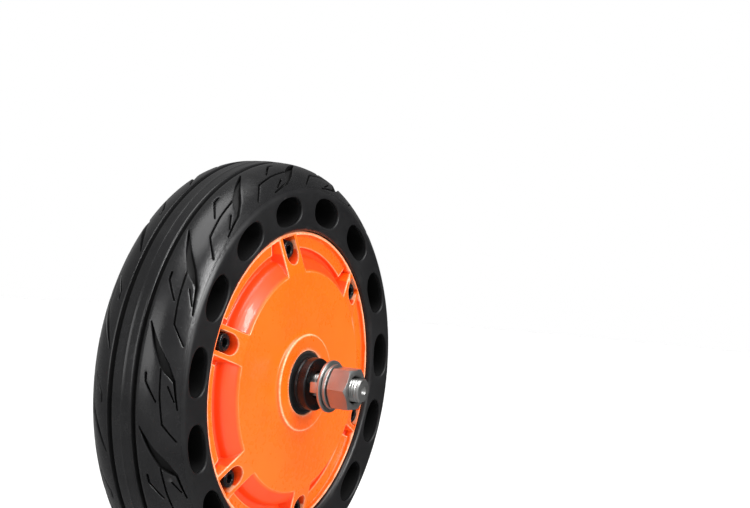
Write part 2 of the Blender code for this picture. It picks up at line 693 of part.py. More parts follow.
def make_end_fittings(side_name, materials, parent):
    """Collar, tab washer, lock washer and nut of one axle end, with room for the frame's dropout."""
    side = SIDES[side_name]
    bore = THREAD_RADIUS + GAP
    neck, flange, outside = COLLAR_FACES
    collar = [(COLLAR_NECK_RADIUS, neck), (COLLAR_NECK_RADIUS, flange), (COLLAR_RADIUS, flange)]
    collar += [(COLLAR_RADIUS, outside - 0.6), (COLLAR_RADIUS - 0.6, outside), (bore, outside), (bore, neck)]
    bm = turned([(radius, side * y) for radius, y in collar], 24)
    finish(f"axle_collar_{side_name}", bm, materials["black_steel"], parent)

    start = outside + DROPOUT_WIDTH
    corner = at_width(bore, FLATS_ACROSS / 2 + GAP)
    quarter = [0, corner / 2, corner, (corner + 90) / 2]
    angles = quarter + [90] + [180 - a for a in reversed(quarter)]
    angles = angles[:-1] + [180 + a for a in angles]
    faces = sorted((side * start, side * (start + TAB_WASHER_THICKNESS)))
    washer_mesh = extruded(ring_faces(TAB_WASHER_RADIUS, flatted_bore, angles), *faces)
    washer = finish(f"tab_washer_{side_name}", washer_mesh, materials["zinc_steel"], parent)
    tab = bmesh.new()
    y = sorted((side * (start - TAB_LENGTH), side * (start + TAB_WASHER_THICKNESS / 2)))
    half = TAB_WIDTH / 2
    box(tab, (-TAB_REACH[1], y[0], -half), (-TAB_REACH[0], y[1], half))
    boolean(washer, cutter(f"tab {side_name}", tab), "UNION")

    start += TAB_WASHER_THICKNESS + GAP
    angles = [8 + 344 / 20 * i for i in range(21)]
    faces = sorted((side * start, side * (start + LOCK_WASHER_THICKNESS)))
    lock_mesh = extruded(ring_faces(LOCK_WASHER_RADIUS, bore, angles), *faces)
    finish(f"lock_washer_{side_name}", lock_mesh, materials["zinc_steel"], parent)

    start += LOCK_WASHER_THICKNESS + GAP
    faces = sorted((side * start, side * (start + NUT_HEIGHT)))
    nut_mesh = bmesh.new()
    cylinder(nut_mesh, NUT_ACROSS / 2 / cos(pi / 6), *faces, 6)
    nut = finish(f"axle_nut_{side_name}", nut_mesh, materials["zinc_steel"], parent)
    thread = bmesh.new()
    cylinder(thread, bore, faces[0] - 1, faces[1] + 1, 20)
    boolean(nut, cutter(f"cut nut thread {side_name}", thread))


def make_empty(name):
    empty = bpy.data.objects.new(name, None)
    bpy.context.scene.collection.objects.link(empty)
    return empty


def main():
    clear_scene()
    materials = make_materials()
    fixed = make_empty("axle_group")
    wheel = make_empty("wheel_group")
    make_tyre(materials, wheel)
    make_rotor(materials, wheel)
    make_core(materials, fixed)
    make_windings(materials, fixed)
    make_carrier(materials, fixed)
    make_insulators(materials, fixed)
    make_hall_board(materials, fixed)
    make_axle(materials, fixed)
    make_axle_fittings(materials, fixed)
    for side_name in SIDES:
        cage = make_empty(f"cage_group_{side_name}")
        make_cover(side_name, materials, wheel)
        make_cover_screws(side_name, materials, wheel)
        make_bearing(side_name, materials, wheel, fixed, cage)
        make_end_fittings(side_name, materials, fixed)


main()
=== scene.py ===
"""Looks for the hub motor wheel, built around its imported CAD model.

Sizes are in millimetres and angles in degrees about the axle, from +X towards +Z; MM turns them
into the frame's metres. The side at -Y, the right-hand one, faces the camera.
"""

import json
from math import asin, cos, degrees, hypot, pi, radians, sin, sqrt, tan

import bmesh
import bpy
import numpy as np
from mathutils import Matrix, Vector
from mathutils.geometry import delaunay_2d_cdt


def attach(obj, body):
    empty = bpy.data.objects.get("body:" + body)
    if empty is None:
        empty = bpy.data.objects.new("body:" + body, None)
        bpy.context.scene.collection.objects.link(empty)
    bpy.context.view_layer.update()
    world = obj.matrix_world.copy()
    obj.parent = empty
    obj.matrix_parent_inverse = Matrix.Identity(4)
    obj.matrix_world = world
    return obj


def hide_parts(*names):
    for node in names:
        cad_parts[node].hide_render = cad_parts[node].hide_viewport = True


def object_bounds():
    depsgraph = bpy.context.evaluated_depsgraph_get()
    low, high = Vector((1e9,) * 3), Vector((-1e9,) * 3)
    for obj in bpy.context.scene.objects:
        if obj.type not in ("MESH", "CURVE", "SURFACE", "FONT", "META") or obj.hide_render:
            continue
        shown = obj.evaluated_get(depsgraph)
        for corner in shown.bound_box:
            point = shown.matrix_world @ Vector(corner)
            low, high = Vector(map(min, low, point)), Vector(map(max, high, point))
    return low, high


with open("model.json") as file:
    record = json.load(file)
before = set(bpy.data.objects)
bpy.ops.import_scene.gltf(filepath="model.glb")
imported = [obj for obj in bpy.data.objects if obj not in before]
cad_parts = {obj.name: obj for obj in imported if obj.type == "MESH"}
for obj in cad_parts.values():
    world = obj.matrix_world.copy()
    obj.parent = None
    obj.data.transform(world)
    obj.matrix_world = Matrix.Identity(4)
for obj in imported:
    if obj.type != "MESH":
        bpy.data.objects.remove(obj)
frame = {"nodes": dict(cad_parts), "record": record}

CAD_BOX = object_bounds()
MM = 0.001
SIDES = {"right": -1, "left": 1}
WELD = 0.004  # vertices of neighbouring patches closer than this are one

# The tyre's crown: its radius falls by CROWN_DROP at CROWN_HALF from the middle plane
CROWN_RADIUS, CROWN_DROP, CROWN_HALF, CROWN_POWER = 100.0, 14.0, 24.8, 3.4
SHOULDER_Y = 22.6  # where the tread ends
SIDE_Y = 24.0  # the flat side wall

# Places on the cover that both its shape and its paint follow: a rib's top as (radius, y), then radii
RIB_TOP = ((51.2, 26.44), (67.0, 22.1))
DOME_END = 50.8
LEDGE_EDGE = (61.3, 61.8)


# --- Mesh helpers -----------------------------------------------------------------------------------


def polar_points(radius, angle, y):
    """Points in millimetres from arrays of radius, angle in degrees and y."""
    radius, angle, y = np.broadcast_arrays(radius, np.radians(angle), y)
    return np.stack([radius * np.cos(angle), y, radius * np.sin(angle)], -1)


def piece(name, points, faces, material, body, replaced=(), sharp=35):
    """Makes a shaded object from points in millimetres, welded where patches meet."""
    mesh = bpy.data.meshes.new(name)
    mesh.from_pydata([tuple(p) for p in np.asarray(points) * MM], [], [tuple(f) for f in faces])
    bm = bmesh.new()
    bm.from_mesh(mesh)
    bmesh.ops.remove_doubles(bm, verts=bm.verts, dist=WELD * MM)
    bmesh.ops.recalc_face_normals(bm, faces=bm.faces)
    bm.to_mesh(mesh)
    bm.free()
    mesh.shade_smooth()
    if sharp:
        mesh.set_sharp_from_angle(angle=radians(sharp))
    mesh.materials.append(MATERIALS[material])
    obj = bpy.data.objects.new(name, mesh)
    bpy.context.scene.collection.objects.link(obj)
    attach(obj, body)
    if replaced:
        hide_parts(*replaced)
    return obj


def grid_faces(rows, columns, offset=0, closed=True):
    """Quads of a grid stored row by row; closed joins the last column to the first."""
    faces = []
    for i in range(rows - 1):
        for j in range(columns if closed else columns - 1):
            k = (j + 1) % columns
            a = offset + i * columns
            b = a + columns
            faces.append((a + j, a + k, b + k, b + j))
    return faces


class Patchwork:
    """Collects patches of points and faces for one piece."""

    def __init__(self):
        self.points, self.faces, self.count = [], [], 0

    def add(self, points, faces):
        points = np.asarray(points, float).reshape(-1, 3)
        self.points.append(points)
        self.faces += [tuple(i + self.count for i in face) for face in faces]
        self.count += len(points)

    def rings(self, rings, closed=True):
        rings = np.asarray(rings, float)
        self.add(rings, grid_faces(len(rings), rings.shape[1], closed=closed))

    def make(self, name, material, body, replaced=(), sharp=35):
        return piece(name, np.concatenate(self.points), self.faces, material, body, replaced, sharp)


def rounded(outline, radius, steps=4):
    """Rounds the corners of an open outline of (radius, y) points; a third item is a corner's own radius."""
    out = [outline[0][:2]]
    for before, corner, after in zip(outline, outline[1:], outline[2:]):
        r = corner[2] if len(corner) > 2 else radius
        p, a, b = (np.array(q[:2], float) for q in (corner, before, after))
        u, v = a - p, b - p
        reach = min(r, 0.45 * np.linalg.norm(u), 0.45 * np.linalg.norm(v))
        start, end = p + u / np.linalg.norm(u) * reach, p + v / np.linalg.norm(v) * reach
        for i in range(steps + 1):
            t = i / steps
            out.append(tuple((1 - t) ** 2 * start + 2 * t * (1 - t) * p + t * t * end))
    out.append(outline[-1][:2])
    return out


def lathe(outline, segments):
    """Rings of a closed solid of revolution whose outline starts and ends at the same point."""
    angles = np.arange(segments) * 360 / segments
    return [polar_points(r, angles, y) for r, y in outline]


def turned_piece(name, outline, side, segments, material, body, replaced, radius=0.3):
    """A ring turned on a lathe, from a closed outline on the +Y side, mirrored for the other side."""
    middle = tuple((np.array(outline[0][:2]) + np.array(outline[-1][:2])) / 2)
    path = rounded([middle] + list(outline) + [middle], radius)
    work = Patchwork()
    work.rings(lathe([(r, side * y) for r, y in path], segments))
    return work.make(name, material, body, replaced)


# --- Materials --------------------------------------------------------------------------------------


class Nodes:
    """A material's node tree with short calls for the nodes that are used here."""

    def __init__(self, name):
        self.material = bpy.data.materials.new(name)
        self.material.use_nodes = True
        self.tree = self.material.node_tree
        self.shader = self.tree.nodes["Principled BSDF"]
        self.place = self.node("ShaderNodeTexCoord").outputs["Object"]

    def node(self, kind, links=(), **settings):
        node = self.tree.nodes.new(kind)
        for key, value in settings.items():
            setattr(node, key, value)
        for socket, value in dict(links).items():
            self.put(node.inputs[socket], value)
        return node

    def put(self, socket, value):
        if isinstance(value, bpy.types.NodeSocket):
            self.tree.links.new(value, socket)
        else:
            socket.default_value = value

    def noise(self, scale, detail=3.0, roughness=0.5, place=None, distortion=0.0):
        links = {"Vector": place or self.place, "Scale": scale, "Detail": detail}
        links.update({"Roughness": roughness, "Distortion": distortion})
        return self.node("ShaderNodeTexNoise", links).outputs["Fac"]

    def spread(self, value, low, high, to_low=0.0, to_high=1.0, smooth=False):
        links = {"Value": value, "From Min": low, "From Max": high, "To Min": to_low, "To Max": to_high}
        node = self.node("ShaderNodeMapRange", links)
        if smooth:
            node.interpolation_type = "SMOOTHSTEP"
        return node.outputs["Result"]

    def maths(self, operation, a, b=0.0):
        return self.node("ShaderNodeMath", {0: a, 1: b}, operation=operation).outputs[0]

    def mix(self, factor, a, b):
        node = self.node("ShaderNodeMix", data_type="RGBA")
        for socket, value in ((0, factor), (6, a), (7, b)):
            self.put(node.inputs[socket], value)
        return node.outputs[2]

    def edges(self, low=0.52, high=0.62, kept=0.0):
        """1 on convex edges, broken up by noise down to the share that is kept."""
        pointed = self.node("ShaderNodeNewGeometry").outputs["Pointiness"]
        broken = self.spread(self.noise(900), 0.35, 0.6, kept)
        return self.maths("MULTIPLY", self.spread(pointed, low, high), broken)

    def bump(self, height, distance, strength=1.0, before=None):
        links = {"Height": height, "Distance": distance, "Strength": strength}
        if before is not None:
            links["Normal"] = before
        return self.node("ShaderNodeBump", links).outputs["Normal"]

    def turning(self):
        """Radius and y in metres as a vector, for marks that run around the axle."""
        parts = self.node("ShaderNodeSeparateXYZ", {"Vector": self.place})
        squares = [self.maths("POWER", parts.outputs[axis], 2.0) for axis in ("X", "Z")]
        radius = self.maths("SQRT", self.maths("ADD", *squares))
        return self.node("ShaderNodeCombineXYZ", {"X": radius, "Y": parts.outputs["Y"]}).outputs[0]

    def finish(self, colour, roughness, normal, **inputs):
        self.put(self.shader.inputs["Base Color"], colour)
        self.put(self.shader.inputs["Roughness"], roughness)
        self.put(self.shader.inputs["Normal"], normal)
        for socket, value in inputs.items():
            self.shader.inputs[socket.replace("_", " ")].default_value = value
        return self.material


def shade(colour, factor):
    return (*(min(1.0, c * factor) for c in colour), 1.0)


def tyre_rubber():
    """Moulded rubber: fine pitted skin, satin on the outside, dull inside cuts and holes, with painted shade
    near black there and a painted highlight on convex edges.
    """
    n = Nodes("tyre_rubber")
    cloud = n.noise(35, 5, 0.6)
    grain = n.noise(1500, 4, 0.65)
    speck = n.noise(260, 6, 0.7)
    parts = n.node("ShaderNodeSeparateXYZ", {"Vector": n.turning()})
    across = n.maths("ABSOLUTE", parts.outputs["Y"])
    fall = n.maths("POWER", n.maths("DIVIDE", across, CROWN_HALF * MM), CROWN_POWER)
    crown_radius = n.maths("SUBTRACT", CROWN_RADIUS * MM, n.maths("MULTIPLY", fall, CROWN_DROP * MM))
    depth = n.maths("SUBTRACT", crown_radius, parts.outputs["X"])
    on_tread = n.spread(across, SHOULDER_Y * MM, (SHOULDER_Y - 1.2) * MM)
    sunk = n.maths("MULTIPLY", n.spread(depth, 0.4 * MM, 1.8 * MM), on_tread)
    base = n.mix(n.spread(cloud, 0.35, 0.65), (0.0075, 0.0075, 0.008, 1), (0.0125, 0.0125, 0.013, 1))
    base = n.mix(n.spread(speck, 0.58, 0.75, 0, 0.3), base, (0.024, 0.0235, 0.023, 1))
    # painted highlight: a lighter grey on convex edges
    base = n.mix(n.maths("MULTIPLY", n.edges(0.52, 0.62), 0.6), base, (0.06, 0.06, 0.06, 1))
    # painted shade: the colour goes near black on the floors of the cuts and inside the holes, where sunk is
    # 1
    base = n.mix(n.maths("MULTIPLY", sunk, 0.85), base, (0.0015, 0.0015, 0.0015, 1))
    rough = n.maths("ADD", n.spread(cloud, 0.3, 0.7, 0.21, 0.28), n.spread(speck, 0.5, 0.8, 0, 0.08))
    rough = n.maths("ADD", rough, n.spread(across, (SHOULDER_Y + 0.2) * MM, (SIDE_Y - 0.4) * MM, 0, 0.14))
    rough = n.maths("ADD", rough, n.maths("MULTIPLY", sunk, 0.35))
    normal = n.bump(grain, 0.00010, 0.45, n.bump(speck, 0.00012, 0.4))
    return n.finish(base, rough, normal, Specular_IOR_Level=0.3)


def orange_paint():
    """Glossy paint on a casting: faint orange peel, painted highlights on convex edges, painted shade deep
    red in the recesses and near black on the slot floors.
    """
    n = Nodes("orange_paint")
    cloud = n.noise(28, 4, 0.55)
    peel = n.noise(420, 3, 0.5)
    cast = n.noise(110, 4, 0.55)
    parts = n.node("ShaderNodeSeparateXYZ", {"Vector": n.turning()})
    radius, across = parts.outputs["X"], n.maths("ABSOLUTE", parts.outputs["Y"])
    (start, start_y), (end, end_y) = RIB_TOP
    rib_top = n.spread(radius, start * MM, end * MM, start_y * MM, end_y * MM)
    sunk = n.spread(n.maths("SUBTRACT", rib_top, across), 0.25 * MM, 0.9 * MM)
    past_dome = n.spread(radius, DOME_END * MM, start * MM)
    before_ledge = n.spread(radius, LEDGE_EDGE[1] * MM, LEDGE_EDGE[0] * MM)
    channel = n.maths("MULTIPLY", past_dome, before_ledge)
    below_ledge = n.spread(across, 19.2 * MM, 18.6 * MM)
    slot_floor_shade = n.spread(across, 17.5 * MM, 17.0 * MM, 0, 0.9)
    painted_recess_shade = n.maths("MAXIMUM", n.maths("MULTIPLY", sunk, channel), below_ledge)
    base = n.mix(n.spread(cloud, 0.35, 0.65), (0.92, 0.112, 0.004, 1), (0.96, 0.132, 0.006, 1))
    # painted shade: the colour turns deep red in the recesses
    base = n.mix(n.maths("MULTIPLY", painted_recess_shade, 0.72), base, (0.78, 0.032, 0.001, 1))
    # painted shade: the colour goes near black on the slot floors
    base = n.mix(slot_floor_shade, base, (0.10, 0.005, 0.001, 1))
    # painted highlight: a light pinkish line on convex edges outside the recesses
    painted_edge_highlight = n.maths("MULTIPLY", n.edges(0.512, 0.535, 0.6), n.maths("SUBTRACT", 1.0, painted_recess_shade))
    base = n.mix(n.maths("MULTIPLY", painted_edge_highlight, 0.9), base, (1.0, 0.48, 0.28, 1))
    rough = n.maths("ADD", n.spread(cloud, 0.3, 0.7, 0.24, 0.30), n.spread(peel, 0.4, 0.7, 0, 0.05))
    rough = n.maths("ADD", rough, n.maths("MULTIPLY", painted_recess_shade, 0.12))
    normal = n.bump(peel, 0.00004, 0.4, n.bump(cast, 0.00006, 0.3))
    return n.finish(base, rough, normal, Coat_Weight=0.2, Coat_Roughness=0.08, Specular_IOR_Level=0.45)


def metal(name, colour, roughness, metallic=1.0, marks=0.0, edge=None, blotch=0.12):
    """Bare, plated or blackened metal, with turning marks around the axle where marks is given."""
    n = Nodes(name)
    cloud = n.noise(90, 5, 0.6)
    grain = n.noise(2400, 3, 0.6)
    base = n.mix(n.spread(cloud, 0.3, 0.7), shade(colour, 1 - blotch), shade(colour, 1 + blotch))
    if edge:
        base = n.mix(n.edges(), base, (*edge, 1))
    rough = n.maths("ADD", n.spread(cloud, 0.3, 0.7, roughness - 0.06, roughness + 0.06),
                    n.spread(grain, 0.3, 0.7, -0.04, 0.04))
    normal = n.bump(grain, 0.00004, 0.4)
    if marks:
        lines = n.noise(5200, 2, 0.6, n.turning())
        normal = n.bump(lines, 0.00005, marks, normal)
    return n.finish(base, rough, normal, Metallic=metallic)


def plain(name, colour, roughness, grain=1200, depth=0.00006, **inputs):
    """Plastic, rubber or varnish with a fine grain."""
    n = Nodes(name)
    cloud = n.noise(120, 4, 0.6)
    fine = n.noise(grain, 4, 0.6)
    base = n.mix(n.spread(cloud, 0.3, 0.7), shade(colour, 0.8), shade(colour, 1.2))
    rough = n.maths("ADD", n.spread(cloud, 0.3, 0.7, roughness - 0.07, roughness + 0.05),
                    n.spread(fine, 0.3, 0.7, -0.05, 0.05))
    return n.finish(base, rough, n.bump(fine, depth, 0.5), **inputs)


def copper_wire():
    """Enamelled wire wound round the teeth: fine parallel turns."""
    n = Nodes("copper_wire")
    parts = n.node("ShaderNodeSeparateXYZ", {"Vector": n.place})
    turns = n.maths("SINE", n.maths("MULTIPLY", parts.outputs["Y"], 2 * pi / 0.0008))
    cloud = n.noise(300)
    base = n.mix(n.spread(cloud, 0.3, 0.7), (0.42, 0.13, 0.035, 1), (0.66, 0.24, 0.07, 1))
    return n.finish(base, n.spread(cloud, 0.3, 0.7, 0.25, 0.4), n.bump(turns, 0.0002, 0.8), Metallic=0.85)


MATERIALS = {
    "tyre_rubber": tyre_rubber(),
    "orange_paint": orange_paint(),
    "cast_aluminium": metal("cast_aluminium", (0.60, 0.61, 0.62), 0.42, 0.95, 0.4),
    "black_steel": metal("black_steel", (0.008, 0.008, 0.009), 0.30, 0.5, 0.5, (0.06, 0.06, 0.064), 0.25),
    "zinc_steel": metal("zinc_steel", (0.42, 0.42, 0.41), 0.34, 0.95, 0.4, None, 0.06),
    "bearing_steel": metal("bearing_steel", (0.68, 0.68, 0.69), 0.18, 1.0, 0.25),
    "lamination_steel": metal("lamination_steel", (0.30, 0.31, 0.33), 0.42, 0.9, 0.8),
    "magnet_nickel": metal("magnet_nickel", (0.56, 0.55, 0.53), 0.28, 1.0),
    "copper_wire": copper_wire(),
    "seal_rubber": plain("seal_rubber", (0.014, 0.014, 0.014), 0.55),
    "insulator_plastic": plain("insulator_plastic", (0.72, 0.68, 0.58), 0.5),
    "circuit_board": plain("circuit_board", (0.02, 0.15, 0.06), 0.32, 2200, 0.00005),
    "sensor_plastic": plain("sensor_plastic", (0.014, 0.014, 0.015), 0.42),
}
for part in frame["record"]["subparts"]:
    data = frame["nodes"][part["node"]].data
    data.materials.clear()
    data.materials.append(MATERIALS[part["material_slot"]])


# --- Tyre -------------------------------------------------------------------------------------------

HOLES = 15
HOLE_CIRCLE = 79.5
HOLE_SIZE = (21.6, 13.0)
HOLE_ANGLE = 197.0
HOLE_EDGE = 0.7  # radius of the moulded lip
TREAD_REPEATS = 14
TREAD_PITCH = 360 / TREAD_REPEATS
RIM_COLUMNS = HOLES * TREAD_REPEATS * 2  # vertices where the tread meets the side walls
TREAD_START = HOLE_ANGLE - 180 / HOLES


def crown(y):
    return CROWN_RADIUS - CROWN_DROP * (np.abs(y) / CROWN_HALF) ** CROWN_POWER


def arc_table(outline):
    outline = np.array(outline, float)
    steps = np.hypot(*np.diff(outline, axis=0).T)
    return np.concatenate([[0], np.cumsum(steps)]), outline


CROWN_Y = np.linspace(0, SHOULDER_Y, 200)
CROWN_TABLE = arc_table(np.stack([crown(CROWN_Y), CROWN_Y], -1))
CROWN_LENGTH = CROWN_TABLE[0][-1]


def crown_arc(y):
    """Distance along the crown from its middle to this y."""
    return np.sign(y) * np.interp(np.abs(y), CROWN_TABLE[1][:, 1], CROWN_TABLE[0])


def crown_point(arc, angle, depth):
    """3-D point at an arc distance from the middle, sunk by depth along the surface's normal."""
    y = np.interp(np.abs(arc), CROWN_TABLE[0], CROWN_TABLE[1][:, 1])
    slope = CROWN_DROP * CROWN_POWER / CROWN_HALF * (y / CROWN_HALF) ** (CROWN_POWER - 1)
    length = np.sqrt(1 + slope ** 2)
    radius = crown(y) - depth / length
    return polar_points(radius, angle, np.sign(arc) * (y - depth * slope / length))


# The tread's cuts on the right-hand side: half-widths, depth and (angle, y) points of their centre lines
CUTS = [
    ((0.3, 1.2, 2.1, 0.6, 0.35), 2.6,
     [(136.2, -9.1), (141.6, -13.4), (146.6, -17.7), (150.2, -20.9), (157.8, -22.2)]),
    ((0.45, 0.4, 0.45, 0.4), 1.9, [(147.2, -16.4), (154.5, -16.9), (161.4, -17.9), (166.4, -21.8)]),
    ((0.55, 0.5, 0.4), 2.0, [(148.7, -10.9), (150.7, -11.1), (155.6, -15.6)]),
    ((0.4, 0.35), 1.6, [(151.6, -19.2), (155.6, -21.3)]),
]
TREAD_SCALE = 97.0 * pi / 180  # millimetres along the tread for each degree
CUT_MIRROR = 306  # the left-hand cuts are the right-hand ones turned end for end about half this angle
WALL_INSET = 0.42  # the cuts' walls reach full depth this far inside their outline, or sooner


def tread_cuts():
    """Centre lines in millimetres along and across the tread, on both sides, over five repeats."""
    cuts = []
    for widths, depth, line in CUTS:
        for shift in (-2, -1, 0, 1, 2):
            for flipped in (False, True):
                pairs = [(CUT_MIRROR - a, -y) if flipped else (a, y) for a, y in line]
                first = (pairs[0][0] - TREAD_START) % TREAD_PITCH + shift * TREAD_PITCH
                move = first - pairs[0][0]
                points = [((a + move) * TREAD_SCALE, float(crown_arc(y))) for a, y in pairs]
                cuts.append((np.array(points), np.array(widths), depth))
    return cuts


def wall_steps(widths):
    """How far inside a cut's outline its wall bends, from the lip down to the floor."""
    inner = min(WALL_INSET, 0.8 * min(widths))
    return [-0.3, -0.08, 0.25 * inner, 0.5 * inner, inner]


def cut_inset(points, cuts):
    """How deep each point is sunk by the cuts."""
    sunk = np.zeros(len(points))
    for line, widths, depth in cuts:
        best = np.full(len(points), -9.0)
        for a, b, wa, wb in zip(line, line[1:], widths, widths[1:]):
            along = b - a
            t = np.clip(((points - a) @ along) / (along @ along), 0, 1)
            away = np.hypot(*(points - a - t[:, None] * along).T)
            best = np.maximum(best, wa + (wb - wa) * t - away)
        sunk = np.maximum(sunk, np.interp(best, wall_steps(widths), [0, 0.05, 0.3, 0.9, depth]))
    return sunk


def cut_outline(line, widths, grow, cap=4):
    """Outline around a centre line, grown by this much, as a closed loop."""
    half = np.maximum(widths + grow, 0.02)
    ways = [(b - a) / np.linalg.norm(b - a) for a, b in zip(line, line[1:])]
    sides = []
    for i, point in enumerate(line):
        before, after = ways[max(i - 1, 0)], ways[min(i, len(ways) - 1)]
        normal = np.array([-(before + after)[1], (before + after)[0]])
        normal /= np.linalg.norm(normal)
        mitre = 1 / max(0.5, abs(normal @ np.array([-after[1], after[0]])))
        sides.append((point, normal * half[i] * mitre))
    loop = []
    for k in range(len(line) - 1):
        (p, n), (q, m) = sides[k], sides[k + 1]
        count = max(1, int(np.linalg.norm(q - p) / 1.6))
        loop += [p + n + (q + m - p - n) * t / count for t in range(count)]
    for end, way in ((-1, ways[-1]), (0, -ways[0])):
        point, normal = sides[end]
        normal = normal if end else -normal
        for i in range(cap + 1):
            turn = pi * i / cap
            loop.append(point + normal * cos(turn) + way * np.linalg.norm(normal) * sin(turn))
        if end:
            for k in range(len(line) - 1, 0, -1):
                (p, n), (q, m) = sides[k], sides[k - 1]
                count = max(1, int(np.linalg.norm(q - p) / 1.6))
                loop += [p - n + (q - m - p + n) * t / count for t in range(1, count)]
                if k > 1:
                    loop.append(q - m)
    return loop


# y and depth across one of the two grooves round the tread
GROOVE = [(4.5, 0.0), (4.75, 0.06), (5.0, 0.22), (5.2, 0.6), (5.4, 2.3), (5.6, 2.6), (7.0, 2.6), (7.2, 2.3),
          (7.35, 0.5), (7.5, 0.12), (7.7, 0.0)]
SEAM_HALF, SEAM_RISE = 0.35, 0.13  # the mould's parting line round the middle of the tread


def make_tread(work):
    length = TREAD_PITCH * TREAD_SCALE
    columns = RIM_COLUMNS // TREAD_REPEATS
    cuts = tread_cuts()
    groove_y = [y for y, _ in GROOVE]
    open_y = [0, SEAM_HALF, 1.5, 3.0, 4.0] + groove_y + [8.7] + list(np.linspace(9.6, SHOULDER_Y - 0.45, 17))
    rows = sorted({round(float(s * crown_arc(y)), 6) for y in open_y for s in (-1, 1)})
    rows = [-CROWN_LENGTH] + rows + [CROWN_LENGTH]
    groove_rows = {round(float(s * crown_arc(y)), 6) for y in groove_y for s in (-1, 1)}
    points, edges = [], []

    def line(added, closed=False):
        first = len(points)
        points.extend(added)
        edges.extend((first + i, first + i + 1) for i in range(len(added) - 1))
        if closed:
            edges.append((first + len(added) - 1, first))

    base = np.array([(length * j / columns, row) for row in rows for j in range(columns + 1)])
    near = cut_inset(base, [(l, w + 0.35, 1.0) for l, w, _ in cuts])
    for i, row in enumerate(rows):
        kept = range(i * (columns + 1), (i + 1) * (columns + 1))
        if row in groove_rows or i in (0, len(rows) - 1):
            line([tuple(base[k]) for k in kept])
        else:
            points.extend(tuple(base[k]) for k in kept if near[k] == 0 and 0 < k - kept[0] < columns)
    for x in (0, length):
        line([(x, row) for row in rows])
    for cut, widths, depth in cuts:
        if cut[:, 0].max() < -4 or cut[:, 0].min() > length + 4:
            continue
        for inset in wall_steps(widths):
            line([tuple(p) for p in cut_outline(cut, widths, -inset)], closed=True)
    vectors = [Vector(p) for p in points]
    flat, _, triangles, *_ = delaunay_2d_cdt(vectors, edges, [], 0, 1e-4)
    flat = np.array([tuple(v) for v in flat])
    middles = np.array([flat[list(t)].mean(0) for t in triangles])
    inside = (middles[:, 0] > 0) & (middles[:, 0] < length) & (np.abs(middles[:, 1]) < CROWN_LENGTH)
    triangles = [t for t, keep in zip(triangles, inside) if keep]
    used = sorted({i for t in triangles for i in t})
    order = {old: new for new, old in enumerate(used)}
    flat = flat[used]
    sunk = cut_inset(flat, cuts)
    y = np.interp(np.abs(flat[:, 1]), CROWN_TABLE[0], CROWN_TABLE[1][:, 1])
    sunk = np.maximum(sunk, np.interp(y, groove_y, [d for _, d in GROOVE]))
    sunk -= np.interp(y, [0, SEAM_HALF], [SEAM_RISE, 0])
    faces = [tuple(order[i] for i in t) for t in triangles]
    for k in range(TREAD_REPEATS):
        angle = TREAD_START + k * TREAD_PITCH + flat[:, 0] / TREAD_SCALE
        work.add(crown_point(flat[:, 1], angle, sunk), faces)


def bezier(a, b, c, steps):
    t = np.linspace(0, 1, steps + 1)[:, None]
    a, b, c = (np.array(p, float) for p in (a, b, c))
    return [tuple(p) for p in (1 - t) ** 2 * a + 2 * t * (1 - t) * b + t * t * c]


FLAT_INNER, FLAT_OUTER = 72.2, 86.7  # radii of the side wall's flat
WALL_OUTLINE = (
    [(float(crown(SHOULDER_Y)), SHOULDER_Y), (89.55, 22.8), (89.3, 22.82)]
    + bezier((89.1, 22.85), (87.9, SIDE_Y), (FLAT_OUTER, SIDE_Y), 8)
    + bezier((FLAT_INNER, SIDE_Y), (70.0, SIDE_Y), (69.5, 21.9), 8)
)
WALL_TABLE = arc_table(WALL_OUTLINE)
WALL_LENGTH = WALL_TABLE[0][-1]


def wall_point(angle, along, side):
    radius = np.interp(along, WALL_TABLE[0], WALL_TABLE[1][:, 0])
    y = np.interp(along, WALL_TABLE[0], WALL_TABLE[1][:, 1])
    return polar_points(radius, angle, side * y)


def hole_radius(direction, grow):
    """Distance from a hole's middle to its outline in this direction, as a rounded oval."""
    a, b = HOLE_SIZE[0] / 2 + grow, HOLE_SIZE[1] / 2 + grow
    power = 2.35  # 2 would be an ellipse
    c, s = abs(cos(direction)), abs(sin(direction))
    return ((c / a) ** power + (s / b) ** power) ** (-1 / power)


